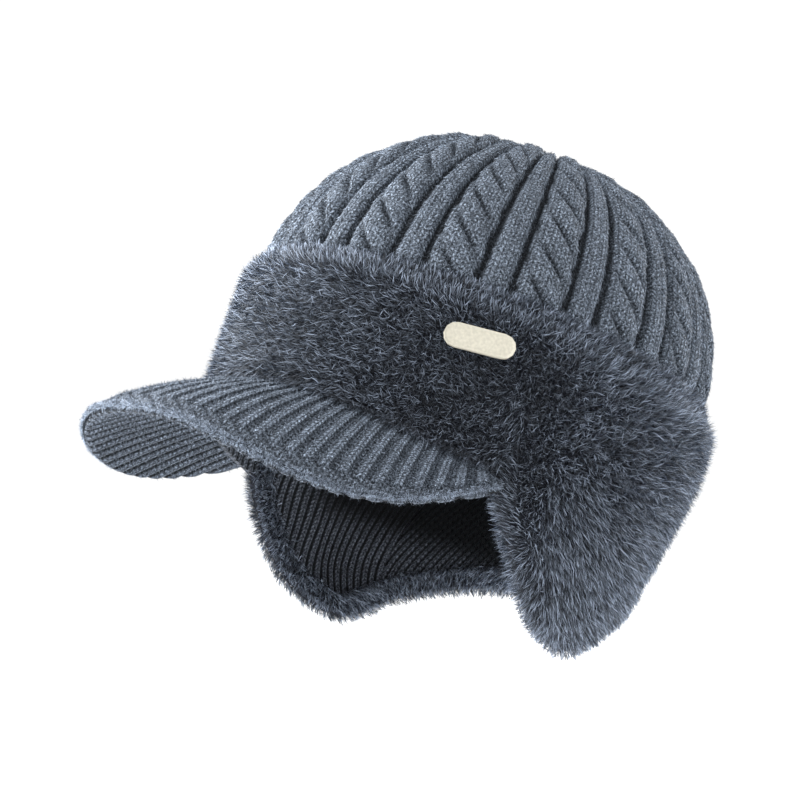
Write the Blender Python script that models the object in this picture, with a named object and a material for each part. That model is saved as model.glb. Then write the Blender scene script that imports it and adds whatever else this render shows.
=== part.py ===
"""A brimmed winter beanie with ear flaps, built as a hollow shell round a head-shaped cavity.

The front is -Y, the wearer's left is +X, +Z is up, and lengths are in metres. The origin is the
centre of the head opening, level with the corners of the brim. Every wall is laid off from the
same head surface, which is addressed by an angle round the head (0 at the front, +90 degrees at
the wearer's left) and a level (-1 at the top of the crown, 0 at the top of the fur band, then one
unit for each row of SECTIONS).
"""

import math

import bmesh
import bpy
import numpy as np

# Head cavity
HEAD_HALF_WIDTH = 0.0856
HEAD_FRONT = 0.1056
HEAD_BACK = 0.1027
BAND_TOP_HEIGHT = 0.0440
BAND_SLOPE = math.radians(22)
FLAP_DROP = 0.0680
CROWN_RISE = 0.0848
CROWN_LEAN = math.radians(26.5)
CROWN_FULLNESS = 2.10

# Walls
LAYER_GAP = 0.0003
SEAT_GAP = 0.0006
LINING_WALL = 0.003
CROWN_WALL = 0.003
FUR_PILE = 0.010
LOCK_HEIGHT = 0.0014
LOCK_REACH = 0.0022
FUR_MARGIN = 0.006
LINING_BELOW_BRIM = 0.005
LINING_SEAM_ANGLE = math.radians(112)
FUR_TOP_LEVEL = -0.035
KNIT_END_LEVEL = -0.058
CROWN_HEM_DEPTH = 0.010

# Cable knit of the crown
CABLE_COUNT = 16
CABLE_HEIGHT = 0.0055
CABLE_CROSSING = 0.015
CABLE_SLANT = -0.60
CABLE_TROUGH = 0.40
CABLE_SHOULDER = 0.3
CROWN_RIB_HEIGHT = 0.0035
CROWN_BUTTON_RADIUS = 0.004
GATHER_RADIUS = 0.030

# Brim
BRIM_LENGTH = 0.0605
BRIM_HALF_ANGLE = math.radians(66.5)
BRIM_SPREAD = 1.13
BRIM_SQUARENESS = 2.6
BRIM_ROOT_ARCH = 0.033
BRIM_TIP_HEIGHT = 0.0253
BRIM_DROOP = 0.0085
BRIM_TWIST = 1.2
BRIM_BULGE = 0.003
BRIM_COVER = 0.0024
BRIM_RIM_COVER = 0.45
BRIM_RIBS = 24
BRIM_RIB_HEIGHT = 0.0010
BRIM_EDGE_BAND = 0.010

# Badge
BADGE_WIDTH = 0.029
BADGE_HEIGHT = 0.010
BADGE_THICKNESS = 0.0016
BADGE_LIP = 0.0011
BADGE_ANGLE = math.radians(57)
BADGE_LEVEL = 0.43

# Mesh steps
CROWN_ROWS_PER_CROSSING = 2
FRONT_COLUMNS = 24
FLAP_COLUMNS = 26
FIELD_ROWS = 7
FIELD_SPREAD = 1.25
LINING_ROWS = 4
CROWN_INNER_ROWS = 4

# Height is a share of BAND_TOP_HEIGHT above the origin and of FLAP_DROP below it; centre and front
# are shares of HEAD_FRONT, back of HEAD_BACK, width of HEAD_HALF_WIDTH, and slope of BAND_SLOPE.
SECTIONS = np.array(
    [
        # height, centre, front, back, width, slope
        (1.00, 0.205, 0.845, 0.880, 0.940, 1.00),  # top of the fur band
        (0.39, 0.070, 0.920, 1.010, 0.980, 0.35),  # brow
        (-0.14, 0.010, 0.985, 0.980, 1.030, 0.00),  # top of the ear
        (-0.465, 0.010, 0.915, 0.765, 1.035, 0.00),  # back of the skull
        (-0.77, -0.020, 0.830, 0.640, 0.975, 0.00),  # nape
        (-1.07, 0.000, 0.770, 0.520, 0.840, 0.00),  # below the ear flaps
    ]
)

# Lower edge of the fur on one side: the angle in degrees, and the height as a share of FLAP_DROP.
FLAP_EDGE = np.array(
    [
        # angle, height
        (69.0, 0.06),  # brim corner
        (70.2, -0.22),
        (72.2, -0.50),
        (78.5, -0.79),
        (86.5, -0.98),
        (94.0, -1.05),  # tip
        (105.0, -1.03),
        (118.0, -0.96),
        (148.0, -0.88),
        (180.0, -0.87),  # nape
    ]
)

# Share of the pile's thickness at each share of the way down the fur.
PILE_DOWN = np.array([(0.00, 0.30), (0.06, 0.75), (0.14, 0.95), (0.30, 1.00), (1.00, 1.00)])

# Share of the way across the fur's lower margin, with the pile's thickness on the flaps and above the brim.
PILE_MARGIN = ((0.5, 0.88, 0.95), (1.0, 0.40, 0.75))

YARN = (0.145, 0.170, 0.210, 1)
FUR = (0.090, 0.106, 0.135, 1)
LINING = (0.050, 0.058, 0.075, 1)
CREAM = (0.800, 0.780, 0.680, 1)


def material(name, colour, roughness, metallic=0.0):
    made = bpy.data.materials.new(name)
    made.use_nodes = True
    shader = made.node_tree.nodes["Principled BSDF"]
    shader.inputs["Base Color"].default_value = colour
    shader.inputs["Roughness"].default_value = roughness
    shader.inputs["Metallic"].default_value = metallic
    made.diffuse_color = colour
    return made


def smooth_rows(rows, where):
    """Rows of a table read at fractional places, on a smooth curve through them."""
    last = len(rows) - 1
    start = np.clip(np.floor(where).astype(int), 0, last - 1)
    t = (where - start)[..., None]
    before = rows[np.clip(start - 1, 0, last)]
    here, there = rows[start], rows[start + 1]
    after = rows[np.clip(start + 2, 0, last)]
    leave, arrive = (there - before) / 2, (after - here) / 2
    return (
        here * (2 * t**3 - 3 * t**2 + 1)
        + there * (3 * t**2 - 2 * t**3)
        + leave * (t**3 - 2 * t**2 + t)
        + arrive * (t**3 - t**2)
    )


def section_sizes(level):
    """Height, centre, front, back, half width and slope of a level, in metres and radians."""
    rows = SECTIONS.copy()
    rows[:, 0] *= np.where(rows[:, 0] > 0, BAND_TOP_HEIGHT, FLAP_DROP)
    rows[:, 1:3] *= HEAD_FRONT
    rows[:, 3] *= HEAD_BACK
    rows[:, 4] *= HEAD_HALF_WIDTH
    rows[:, 5] *= BAND_SLOPE
    rise = rows[0, 0] - rows[1, 0]
    above = rows[0].copy()
    above[0] += rise
    above[1] += rise * math.tan(CROWN_LEAN)
    return smooth_rows(np.vstack([above, rows]), level + 1)


def head_surface(angle, level):
    """Points of the cavity's wall."""
    angle, level = np.broadcast_arrays(np.asarray(angle, float), np.asarray(level, float))
    sizes = section_sizes(np.maximum(level, 0))
    height, centre, front, back, width, slope = np.moveaxis(sizes, -1, 0)
    turn = np.pi / 2 * (1 + np.minimum(level, 0))
    shrink = np.sin(turn) ** (2 / CROWN_FULLNESS)
    rise = CROWN_RISE * np.maximum(np.cos(turn), 0) ** (2 / CROWN_FULLNESS)
    along = -np.cos(angle) * np.where(np.cos(angle) > 0, front, back) * shrink
    return np.stack(
        [
            width * np.sin(angle) * shrink,
            centre + along + rise * math.sin(CROWN_LEAN),
            height - along * np.tan(slope) + rise * math.cos(CROWN_LEAN),
        ],
        axis=-1,
    )


def unit(vectors):
    return vectors / np.linalg.norm(vectors, axis=-1, keepdims=True)


def off_head(angle, level, offset):
    """Points at a distance outside the cavity's wall, along its normal."""
    angle, level, offset = np.broadcast_arrays(angle, level, offset)
    step = 1e-3
    inside = np.maximum(level, -1 + 4 * step)
    round_head = head_surface(angle + step, inside) - head_surface(angle - step, inside)
    down_head = head_surface(angle, inside + step) - head_surface(angle, inside - step)
    outward = unit(np.cross(down_head, round_head))
    return head_surface(angle, level) + outward * offset[..., None]


def level_at(angle, height, offset=0.0):
    """The level below the fur's top at which a layer of the wall reaches a height."""
    angle, height = np.broadcast_arrays(np.asarray(angle, float), np.asarray(height, float))
    low, high = np.zeros(angle.shape), np.full(angle.shape, len(SECTIONS) - 1.0)
    for _ in range(18):
        middle = (low + high) / 2
        too_high = off_head(angle, middle, offset)[..., 2] > height
        low, high = np.where(too_high, middle, low), np.where(too_high, high, middle)
    return low


def hem_level(angle, depth):
    """The level a depth below the band's top."""
    return level_at(angle, head_surface(angle, 0.0)[..., 2] - depth)


def hem_levels(angle):
    """Levels of the rows where the crown's hem lies behind the fur."""
    hem = hem_level(angle, CROWN_HEM_DEPTH)
    return np.stack([FUR_TOP_LEVEL + 0 * hem, 0 * hem, hem / 2, hem])


def brim_seat(angle, height):
    """Points of the brim's root, a gap clear of the lining's outer face."""
    offset = LINING_WALL + LAYER_GAP
    return off_head(angle, level_at(angle, height, offset), offset)


def signed_power(value, power):
    return np.sign(value) * np.abs(value) ** power


def brim_edges(turn):
    """Root and rim of the brim's middle; turn is -90 degrees at one corner and 90 at the other."""
    turn = np.asarray(turn, float)
    root = brim_seat(turn / (np.pi / 2) * BRIM_HALF_ANGLE, BRIM_ROOT_ARCH * np.cos(turn))
    centre = brim_seat(0.0, BRIM_ROOT_ARCH)
    corner = brim_seat(BRIM_HALF_ANGLE, 0.0)
    reach = corner[1] - centre[1] + BRIM_LENGTH
    power = 2 / BRIM_SQUARENESS
    lift = (BRIM_TIP_HEIGHT + BRIM_DROOP) * np.cos(BRIM_TWIST * turn) ** 2
    rim = np.stack(
        [
            corner[0] * BRIM_SPREAD * signed_power(np.sin(turn), power),
            corner[1] - reach * np.abs(np.cos(turn)) ** power,
            lift - BRIM_DROOP,
        ],
        axis=-1,
    )
    return root, rim


def brim_middle(turn, way):
    """Points of the brim's middle surface; way is 0 at the root and 1 at the rim."""
    turn, way = np.broadcast_arrays(np.asarray(turn, float), np.asarray(way, float))
    root, rim = brim_edges(turn)
    points = root + (rim - root) * way[..., None]
    points[..., 2] += BRIM_BULGE * 4 * way * (1 - way) * np.cos(turn)
    return points


def brim_normal(turn, way):
    step = 1e-3
    across = brim_middle(turn + step, way) - brim_middle(turn - step, way)
    outward = brim_middle(turn, way + step) - brim_middle(turn, way - step)
    return unit(np.cross(outward, across))


def off_brim(turn, way, offset):
    """Points above (or below) the brim's middle surface, with the root kept on the lining."""
    turn, way, offset = np.broadcast_arrays(turn, way, offset)
    points = brim_middle(turn, way) + brim_normal(turn, way) * offset[..., None]
    seat = brim_seat(turn / (np.pi / 2) * BRIM_HALF_ANGLE, points[..., 2])
    return np.where(way[..., None] == 0, seat, points)


def rest_height(x, y):
    """Height at which the fur rests on the brim, over points of the plan."""
    low, high = np.full(np.shape(x), -np.pi / 2), np.full(np.shape(x), np.pi / 2)
    for _ in range(16):
        turn = (low + high) / 2
        root, rim = brim_edges(turn)
        along = rim - root
        side = along[..., 0] * (y - root[..., 1]) - along[..., 1] * (x - root[..., 0])
        low, high = np.where(side > 0, turn, low), np.where(side > 0, high, turn)
    run = along[..., 0] ** 2 + along[..., 1] ** 2
    way = ((x - root[..., 0]) * along[..., 0] + (y - root[..., 1]) * along[..., 1]) / run
    way = np.clip(way, 0, 1)
    clear = BRIM_COVER + BRIM_RIB_HEIGHT + SEAT_GAP
    return brim_middle(turn, way)[..., 2] + clear / brim_normal(turn, way)[..., 2]


def flap_edge():
    """Angle and height down one side's lower edge of the fur, at even distances."""
    fine = smooth_rows(FLAP_EDGE, np.linspace(0, len(FLAP_EDGE) - 1, 200))
    angle, height = np.radians(fine[:, 0]), fine[:, 1] * FLAP_DROP
    places = head_surface(angle, level_at(angle, height))
    run = np.concatenate([[0], np.cumsum(np.linalg.norm(np.diff(places, axis=0), axis=1))])
    even = np.linspace(0, run[-1], FLAP_COLUMNS + 1)
    return np.interp(even, run, angle), np.interp(even, run, height)


def flap_margin(angle, height):
    """The line a margin's width inside the fur's lower edge on one side."""
    reach = np.hypot(*head_surface(angle, level_at(angle, height))[:, :2].T)
    across, up = np.gradient(angle) * reach, np.gradient(height)
    length = np.hypot(across, up)
    inward_angle = -up / length * FUR_MARGIN / reach
    inward_height = across / length * FUR_MARGIN
    inward_height[0] = FUR_MARGIN
    return np.minimum(angle + inward_angle, np.pi), height + inward_height


def fur_columns():
    """For each column round the hat: angle at the top, angle and height at the margin and the edge."""
    side_angle, side_height = flap_edge()
    margin_angle, margin_height = flap_margin(side_angle, side_height)
    front = np.linspace(-1, 1, FRONT_COLUMNS + 1)
    edge = front * side_angle[0]
    arch = BRIM_ROOT_ARCH * np.cos(np.clip(edge / BRIM_HALF_ANGLE, -1, 1) * np.pi / 2)
    place = off_head(edge, level_at(edge, arch), LINING_WALL + LAYER_GAP + FUR_PILE / 2)
    low = np.maximum(rest_height(place[:, 0], place[:, 1]), side_height[0])
    top_side = np.linspace(margin_angle[0], np.pi, FLAP_COLUMNS + 1)

    def join(front_values, left, mirrored):
        right = 2 * np.pi - left if mirrored else left
        return np.concatenate([front_values, left[1:], right[::-1][1:-1]])

    return {
        "top": join(front * margin_angle[0], top_side, True),
        "margin_angle": join(front * margin_angle[0], margin_angle, True),
        "margin_height": join(low + FUR_MARGIN, margin_height, False),
        "edge_angle": join(edge, side_angle, True),
        "edge_height": join(low, side_height, False),
        "front": np.arange(len(front) + 2 * FLAP_COLUMNS - 1) <= FRONT_COLUMNS,
    }


def field_places(columns, way):
    """Angle and level a share of the way from the fur's top to its margin, column by column."""
    margin = level_at(columns["margin_angle"], columns["margin_height"])
    return between((columns["top"], FUR_TOP_LEVEL), (columns["margin_angle"], margin), way)


def margin_places(columns, way):
    """Angle and level a share of the way across the margin, column by column."""
    margin = level_at(columns["margin_angle"], columns["margin_height"])
    edge = level_at(columns["edge_angle"], columns["edge_height"])
    return between((columns["margin_angle"], margin), (columns["edge_angle"], edge), way)


def between(start, stop, way):
    """Angle and level a share of the way from one line of places to another."""
    return start[0] + (stop[0] - start[0]) * way, start[1] + (stop[1] - start[1]) * way


def on_brim(points, columns, share):
    """Sets the front's lowest row of points on the brim, and the row above it clear of the brim."""
    floor = rest_height(points[..., 0], points[..., 1])
    seated = floor if share == 1 else np.maximum(points[..., 2], floor + FUR_MARGIN * (1 - share) / 2)
    moved = points.copy()
    moved[..., 2] = np.where(columns["front"], seated, points[..., 2])
    return moved


def build_fur(finish):
    columns = fur_columns()
    count = len(columns["top"])
    inner = LINING_WALL + LAYER_GAP
    even = np.arange(count) % 2
    row = np.arange(FIELD_ROWS + 1)[:, None]
    way = (row / FIELD_ROWS) ** FIELD_SPREAD
    lock = LOCK_HEIGHT * ((row + even) % 2) * (row > 0)
    pile = FUR_PILE * np.interp(way, PILE_DOWN[:, 0], PILE_DOWN[:, 1])
    outside = [off_head(*field_places(columns, way), inner + pile + lock)]
    outside[0][0, :, 2] += LOCK_REACH * even
    for share, thick, front_thick in PILE_MARGIN:
        depth = FUR_PILE * np.where(columns["front"], front_thick, thick)
        rim = off_head(*margin_places(columns, share), inner + depth)
        rim[:, 2] -= np.where(columns["front"], 0, LOCK_REACH * even * share)
        outside.append(on_brim(rim, columns, share)[None])
    margin = level_at(columns["margin_angle"], columns["margin_height"])
    hem = hem_levels(columns["top"])
    below = hem[-1] + (margin - hem[-1]) * np.linspace(0, 1, LINING_ROWS + 1)[1:, None]
    way = (np.concatenate([hem, below]) - FUR_TOP_LEVEL) / (margin - FUR_TOP_LEVEL)
    inside = [off_head(*field_places(columns, way), inner)]
    ledge = np.where(columns["front"], inner, LAYER_GAP)
    for share in (SEAT_GAP / FUR_MARGIN, 1.0):
        places = margin_places(columns, share)
        rim = on_brim(off_head(*places, ledge), columns, share)
        seated = brim_seat(places[0], rim[:, 2])
        inside.append(np.where(columns["front"][:, None], seated, rim)[None])
    wall("fur_band_and_flaps", np.concatenate(outside), np.concatenate(inside), True, finish)


def lining_grid(columns):
    """Angle and level of the lining's rows, from the crown's hem to the fur's margin."""
    top = columns["top"], hem_level(columns["top"], CROWN_HEM_DEPTH + SEAT_GAP)
    low = columns["margin_angle"], level_at(columns["margin_angle"], columns["margin_height"])
    return between(top, low, np.linspace(0, 1, LINING_ROWS + 1)[:, None])


def build_lining(finish):
    columns = fur_columns()
    angle, level = lining_grid(columns)
    count, corner = angle.shape[1], FRONT_COLUMNS
    edge = columns["edge_angle"]
    arch = BRIM_ROOT_ARCH * np.cos(np.clip(edge / BRIM_HALF_ANGLE, -1, 1) * np.pi / 2)
    low = level_at(edge, arch - BRIM_COVER - BRIM_RIB_HEIGHT - LINING_BELOW_BRIM)
    front = slice(0, corner + 1)
    front_angle = np.vstack([angle, edge, edge])[:, front]
    front_level = np.vstack([level, level_at(edge, columns["edge_height"]), low])[:, front]
    panel("lining_front", front_angle, front_level, finish)
    nearest = np.argmin(np.abs(angle[-1, corner : corner + FLAP_COLUMNS] - LINING_SEAM_ANGLE))
    seams = corner, corner + int(nearest), count - int(nearest), count
    names = "lining_ear_left", "lining_neck", "lining_ear_right"
    for name, start, stop in zip(names, seams, seams[1:]):
        some = np.arange(start, stop + 1)
        turn = np.where(some >= count, 2 * np.pi, 0)
        panel(name, angle[:, some % count] + turn, level[:, some % count], finish)


def panel(name, angle, level, finish):
    """A panel of lining over a grid of places, a gap narrower than they are."""
    angle = angle.copy()
    trim = LAYER_GAP / HEAD_HALF_WIDTH
    angle[:, 0] += trim
    angle[:, -1] -= trim
    wall(name, off_head(angle, level, LINING_WALL), off_head(angle, level, 0.0), False, finish)


def build_brim(top_finish, under_finish):
    steps = 2 * BRIM_RIBS + 1
    turn = np.linspace(-np.pi / 2, np.pi / 2, steps)
    band = 1 - BRIM_EDGE_BAND / BRIM_LENGTH
    way = np.array([0, 0.3, 0.6, band, (1 + band) / 2, 1.0])[:, None]
    ribbed = np.where(way < band, 1.0, 0.0) * (np.arange(steps) % 2)
    cover = BRIM_COVER * np.where(way == 1, BRIM_RIM_COVER, 1.0) + BRIM_RIB_HEIGHT * ribbed
    seam = LAYER_GAP / 2
    above, below = off_brim(turn, way, seam + cover), off_brim(turn, way, -seam - cover)
    half = np.array([0, 0.5, 1.0])[:, None]
    wall("brim_top", above, off_brim(turn, half, seam), False, top_finish)
    wall("brim_underside", below, off_brim(turn, half, -seam), False, under_finish)


def cable_height(across, distance):
    """Height of a cable's slanted lobes, 0 to 1; across is -1 to 1 over the cable's width."""
    lobe = np.abs(np.sin(np.pi * (distance / CABLE_CROSSING + CABLE_SLANT * across)))
    return (CABLE_TROUGH + (1 - CABLE_TROUGH) * lobe) * np.maximum(1 - across**2, 0) ** CABLE_SHOULDER


def build_crown(finish):
    # Shares of one repeat, from the middle of a cable: its edges, its strands, and a plain rib.
    cable_edge, strand, rib_edge = 0.28, 0.11, 0.41
    one = np.array([-cable_edge, -strand, strand, cable_edge, rib_edge, 1 - rib_edge])
    cell = np.concatenate([one + k for k in range(CABLE_COUNT)])
    angle = cell * 2 * np.pi / CABLE_COUNT
    button = CROWN_BUTTON_RADIUS / HEAD_HALF_WIDTH - 1
    fine = np.linspace(button, KNIT_END_LEVEL, 200)[:, None]
    steps = np.linalg.norm(np.diff(head_surface(angle, fine), axis=0), axis=-1).mean(axis=1)
    run = np.concatenate([[0], np.cumsum(steps)])
    row_step = CABLE_CROSSING / CROWN_ROWS_PER_CROSSING
    distance = np.linspace(0, run[-1], int(round(run[-1] / row_step)) + 1)
    level = np.interp(distance, run, fine[:, 0])
    hem = hem_levels(angle)
    distance = np.concatenate([distance, run[-1] * np.ones(len(hem))])[:, None]
    knitted = np.where(distance < run[-1], 1.0, 0.0)
    level = np.vstack([np.tile(level[:, None], len(angle)), hem])
    shape = np.tile(one / cable_edge, CABLE_COUNT)
    plain = np.abs(shape) > 1
    radius = np.sin(np.pi / 2 * (1 + np.minimum(level, 0))) * HEAD_HALF_WIDTH
    gather = np.clip(radius / GATHER_RADIUS, 0, 1)
    cable = CABLE_HEIGHT * cable_height(shape, distance)
    relief = np.where(plain, CROWN_RIB_HEIGHT, cable) * knitted * gather
    outside = off_head(angle, level, CROWN_WALL + relief)
    inner_level = np.linspace(button, FUR_TOP_LEVEL, CROWN_INNER_ROWS)[:, None] + 0 * angle
    inner_level = np.vstack([inner_level, hem[1], hem[-1]])
    wall("cable_knit_crown", outside, off_head(angle, inner_level, 0.0), True, finish, capped=True)


def wall(name, outside, inside, ring, finish, capped=False):
    """A closed wall between two grids of points; a ring goes all the way round, a cap shuts its top."""
    mesh = bmesh.new()
    skins = [[[mesh.verts.new(p) for p in row] for row in grid] for grid in (outside, inside)]
    columns = len(skins[0][0])
    pairs = [(c, (c + 1) % columns) for c in range(columns if ring else columns - 1)]
    for rows in skins:
        for upper, lower in zip(rows, rows[1:]):
            for a, b in pairs:
                mesh.faces.new((upper[a], upper[b], lower[b], lower[a]))
        if capped:
            mesh.faces.new(rows[0])
    for end in (-1,) if capped else (0, -1):
        outer, inner = skins[0][end], skins[1][end]
        for a, b in pairs:
            mesh.faces.new((outer[a], outer[b], inner[b], inner[a]))
    if not ring:
        for c in (0, -1):
            mesh.faces.new([row[c] for row in skins[0]] + [row[c] for row in skins[1][::-1]])
    finish_mesh(mesh, name, finish)


def finish_mesh(mesh, name, finish):
    bmesh.ops.triangulate(mesh, faces=[face for face in mesh.faces if len(face.verts) > 4])
    bmesh.ops.recalc_face_normals(mesh, faces=mesh.faces)
    data = bpy.data.meshes.new(name)
    mesh.to_mesh(data)
    mesh.free()
    data.shade_smooth()
    data.set_sharp_from_angle(angle=math.radians(40))
    data.materials.append(finish)
    bpy.context.scene.collection.objects.link(bpy.data.objects.new(name, data))


def build_badge(finish):
    outer = LINING_WALL + LAYER_GAP + FUR_PILE + LOCK_HEIGHT + LAYER_GAP
    middle = off_head(BADGE_ANGLE, BADGE_LEVEL, outer)
    step = 0.01
    ahead, behind = (off_head(BADGE_ANGLE + s * step, BADGE_LEVEL, outer) for s in (1, -1))
    lower, upper = (off_head(BADGE_ANGLE, BADGE_LEVEL + s * step, outer) for s in (1, -1))
    side = unit(ahead - behind)
    out = unit(np.cross(lower - upper, side))
    down = np.cross(side, out)
    mesh = bmesh.new()
    arc = np.linspace(-np.pi / 2, np.pi / 2, 7)
    radius, half = BADGE_HEIGHT / 2, (BADGE_WIDTH - BADGE_HEIGHT) / 2
    ring = [(half + radius * math.cos(a), radius * math.sin(a)) for a in arc]
    ring += [(-x, -y) for x, y in ring]
    face = mesh.faces.new([mesh.verts.new(middle + side * x + down * y) for x, y in ring])
    base = bmesh.ops.extrude_face_region(mesh, geom=[face])["geom"]
    top = next(g for g in base if isinstance(g, bmesh.types.BMFace))
    bmesh.ops.translate(mesh, verts=top.verts, vec=out * BADGE_THICKNESS)
    bmesh.ops.inset_region(mesh, faces=[top], thickness=BADGE_LIP)
    bmesh.ops.translate(mesh, verts=top.verts, vec=-out * BADGE_THICKNESS / 3)
    finish_mesh(mesh, "badge", finish)


def main():
    for leftover in list(bpy.data.objects):
        bpy.data.objects.remove(leftover)
    yarn = material("blue_grey_yarn", YARN, 0.9)
    fur = material("plush_fur", FUR, 0.95)
    lining = material("dark_rib_lining", LINING, 0.95)
    cream = material("cream_enamel", CREAM, 0.4)
    build_crown(yarn)
    build_fur(fur)
    build_lining(lining)
    build_brim(yarn, yarn)
    build_badge(cream)


if __name__ == "__main__":
    main()
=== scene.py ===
"""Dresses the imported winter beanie: cable knit, plush pile, rib lining, brim, badge, floor, light and camera.

The front is -Y, the wearer's left is +X, +Z is up, and lengths are in metres. Every piece is laid
off from the same head surface as the frame, addressed by an angle round the head (0 at the front,
+90 degrees at the wearer's left) and a level (-1 at the crown's top, 0 at the top of the plush band,
then one unit for each row of SECTIONS).
"""

import math

import bpy
import numpy as np
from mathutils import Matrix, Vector


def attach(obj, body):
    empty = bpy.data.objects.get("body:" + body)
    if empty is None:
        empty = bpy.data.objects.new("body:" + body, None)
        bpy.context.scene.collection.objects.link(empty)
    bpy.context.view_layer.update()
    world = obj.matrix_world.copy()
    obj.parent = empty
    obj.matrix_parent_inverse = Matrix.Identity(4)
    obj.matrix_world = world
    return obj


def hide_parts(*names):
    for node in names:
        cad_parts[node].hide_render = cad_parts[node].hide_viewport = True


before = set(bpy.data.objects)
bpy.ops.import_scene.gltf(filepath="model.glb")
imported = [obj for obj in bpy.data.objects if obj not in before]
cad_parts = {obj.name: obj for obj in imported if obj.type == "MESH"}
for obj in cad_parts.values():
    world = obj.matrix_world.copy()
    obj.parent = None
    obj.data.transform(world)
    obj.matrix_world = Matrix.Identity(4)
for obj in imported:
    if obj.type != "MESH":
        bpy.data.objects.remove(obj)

bl_info = {
    "name": "Winter beanie",
    "version": (1, 0, 0),
    "blender": (4, 5, 0),
    "location": "3D View > Sidebar > Beanie",
    "description": "Knits and furs the packed beanie and sets it on a plain stage",
    "category": "Object",
}

# Sizes shared with the frame
HEAD_HALF_WIDTH = 0.0856
HEAD_FRONT = 0.1056
HEAD_BACK = 0.1027
BAND_TOP_HEIGHT = 0.0440
BAND_SLOPE = math.radians(22)
FLAP_DROP = 0.0680
CROWN_RISE = 0.0848
CROWN_LEAN = math.radians(26.5)
CROWN_FULLNESS = 2.10
LAYER_GAP = 0.0003
SEAT_GAP = 0.0006
LINING_WALL = 0.003
OUTSIDE_LINING = LINING_WALL + LAYER_GAP
CROWN_WALL = 0.003
FUR_PILE = 0.010
FUR_MARGIN = 0.006
LINING_BELOW_BRIM = 0.005
LINING_SEAM_ANGLE = math.radians(112)
FUR_TOP_LEVEL = -0.035
CROWN_HEM_DEPTH = 0.010
CABLE_COUNT = 16
CABLE_CROSSING = 0.015
CABLE_SLANT = -0.60
CROWN_BUTTON_RADIUS = 0.004
BRIM_LENGTH = 0.0605
BRIM_HALF_ANGLE = math.radians(66.5)
BRIM_SPREAD = 1.13
BRIM_SQUARENESS = 2.6
BRIM_ROOT_ARCH = 0.033
BRIM_TIP_HEIGHT = 0.0253
BRIM_DROOP = 0.0085
BRIM_TWIST = 1.2
BRIM_BULGE = 0.003
BRIM_COVER = 0.0024
BRIM_RIB_HEIGHT = 0.0010
BRIM_EDGE_BAND = 0.010

# Sizes of the finer knit and pile, which the frame has more plainly or not at all
FINER = 5
PLUSH_ROWS = 60
MARGIN_ROWS = 10
FRONT_COLUMNS = 24 * FINER
FLAP_COLUMNS = 26 * FINER
CABLE_EDGE, RIB_EDGE = 0.285, 0.345
GATHER_RADIUS = 0.042
KNIT_END_LEVEL = -0.046
KNIT_ROWS = 160
KNIT_COLUMNS = 34
KNIT_STITCH_WIDTH = 0.0033
KNIT_STITCH_HEIGHT = 0.0020
KNIT_UNEVENNESS, KNIT_PATCH = 0.0004, 0.012
STITCH_DEPTH = 0.0007
# Painted light: painted shade in the crown's grooves and on its inside wall
GROOVE_LIGHT, INSIDE_LIGHT = 0.13, 0.25
INSIDE_STITCHES, SEAM_STITCHES = 80, 30
BRIM_RIBS = 40
BRIM_RIB_COLUMNS = 10
BRIM_SINK = 0.0012
MOSS_HEIGHT = 0.0010
RUNG_PITCH = 0.0026
RIM_TRIM = 0.0011
UNDERSIDE_RIBS = 48
UNDERSIDE_RIB_HEIGHT = 0.0016
UNDERSIDE_SINK = 0.0006
UNDERSIDE_STITCH_HEIGHT = 0.0019
LINING_FINER = 2
LINING_STITCH_HEIGHT = 0.0018
# The lining's painted shade: the height of its lower bound at a turn in degrees, and how far that falls for
# each degree towards the nape
PAINTED_SHADE_HEIGHT, PAINTED_SHADE_TURN, PAINTED_SHADE_FALL = -0.0252, 92, 0.00039
WOOL_GRAIN, WOOL_ROUGHNESS = 0.0035, 0.0006
HAIR_ROOT, HAIR_ROOT_AT_EDGE = 0.50, 0.18
HAIR_LENGTH = 0.61
HAIR_REACH = {"guard": (0.55, 1.0), "down": (0.35, 0.7)}
TUFT_SIZE, SWIRL_SIZE = 0.0045, 0.016

# The stage: the floor, the camera's aim beside the hat's origin as slopes, and the lamps in metres and watts
FLOOR_HALF = 12.0
AIM_LEFT, AIM_UP = 38 / 2967, 59 / 2967
LAMPS = (
    # name, towards the camera, right, up, size, power
    ("key_softbox", 0.5, -0.9, 1.5, 0.9, 30.0),
    ("side_softbox", -0.15, -1.45, 0.35, 0.8, 40.0),
    ("rim_softbox", -0.9, -1.3, 0.9, 0.8, 30.0),
    ("back_softbox", -1.0, 1.3, 0.7, 0.9, 30.0),
)

# The frame's own tables, in shares of the named sizes
SECTIONS = np.array(
    [
        # height, centre, front, back, width, slope
        (1.00, 0.205, 0.845, 0.880, 0.940, 1.00),
        (0.39, 0.070, 0.920, 1.010, 0.980, 0.35),
        (-0.14, 0.010, 0.985, 0.980, 1.030, 0.00),
        (-0.465, 0.010, 0.915, 0.765, 1.035, 0.00),
        (-0.77, -0.020, 0.830, 0.640, 0.975, 0.00),
        (-1.07, 0.000, 0.770, 0.520, 0.840, 0.00),
    ]
)
FLAP_EDGE = np.array(
    [
        # angle, height
        (69.0, 0.06),
        (70.2, -0.22),
        (72.2, -0.50),
        (78.5, -0.79),
        (86.5, -0.98),
        (94.0, -1.05),
        (105.0, -1.03),
        (118.0, -0.96),
        (148.0, -0.88),
        (180.0, -0.87),
    ]
)

# The pile's depth at each share of the way down, fuller than the frame's
PILE_DOWN = np.array([(0.00, 0.45), (0.05, 1.00), (0.12, 1.20), (0.30, 1.12), (1.00, 1.00)])


# Shape of the head, the plush's outline and the brim


def matched(*values):
    """Arrays of floats of one shape."""
    return np.broadcast_arrays(*(np.asarray(value, float) for value in values))


def running(steps):
    """Distance from the start to each step's end, with 0 first."""
    return np.concatenate([[0], np.cumsum(steps)])


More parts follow.
